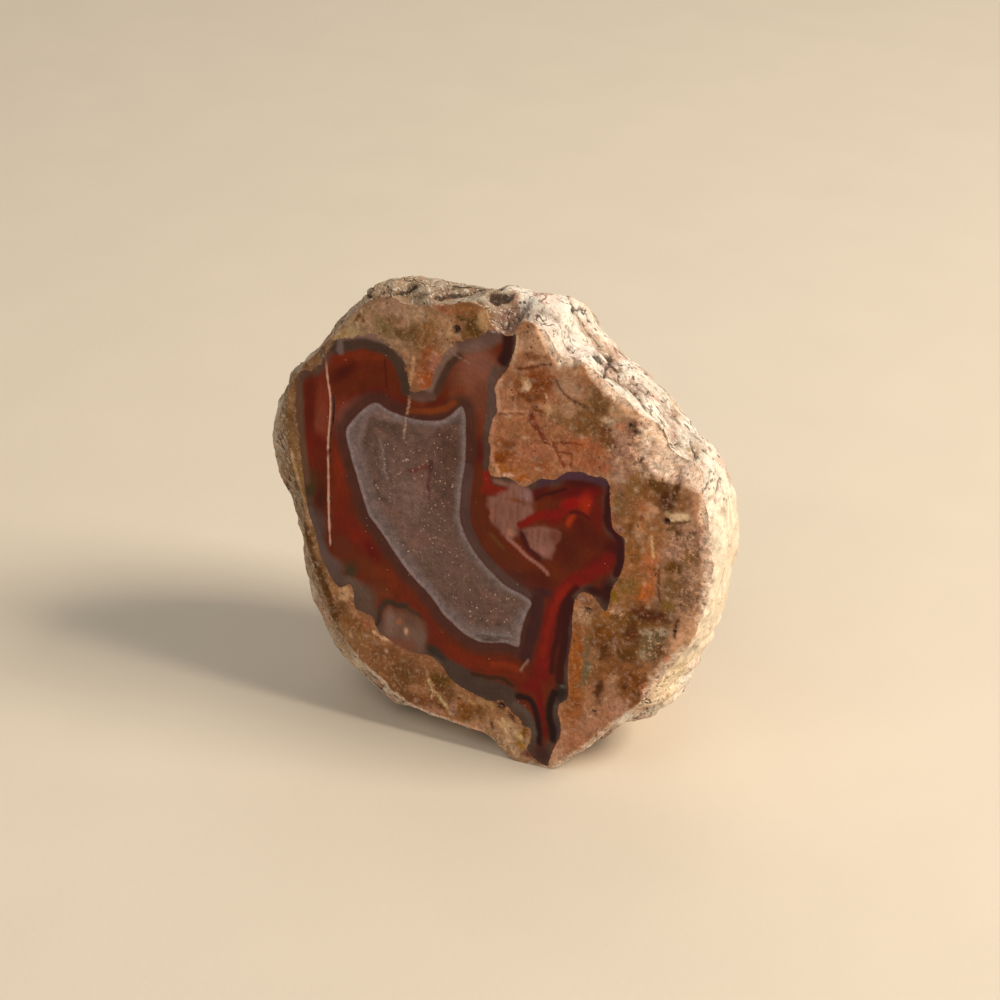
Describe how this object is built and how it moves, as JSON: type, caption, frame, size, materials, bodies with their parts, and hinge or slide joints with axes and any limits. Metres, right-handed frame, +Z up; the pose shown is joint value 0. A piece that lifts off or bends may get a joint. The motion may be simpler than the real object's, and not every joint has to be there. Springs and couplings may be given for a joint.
{
  "type": "cut and polished agate nodule half",
  "caption": "Half of a solid agate nodule: a flat polished face with red and grey banding in front, a rough pale lumpy rind behind, resting on a small flat spot.",
  "frame": {"origin": "middle of the bounding box's underside, on the ground that the stone rests on", "axes": "+X runs to the right along the polished face as seen from the front, +Y points back from the polished face into the stone, +Z is up"},
  "size_m": [0.078, 0.039, 0.0717],
  "materials": {
    "agate_stone": "polished face with red, maroon and lavender-grey agate in tan matrix; rough matte cream and pink rind with dark specks"
  },
  "bodies": {
    "root": {"agate_nodule": "agate_stone"}
  },
  "joints": []
}
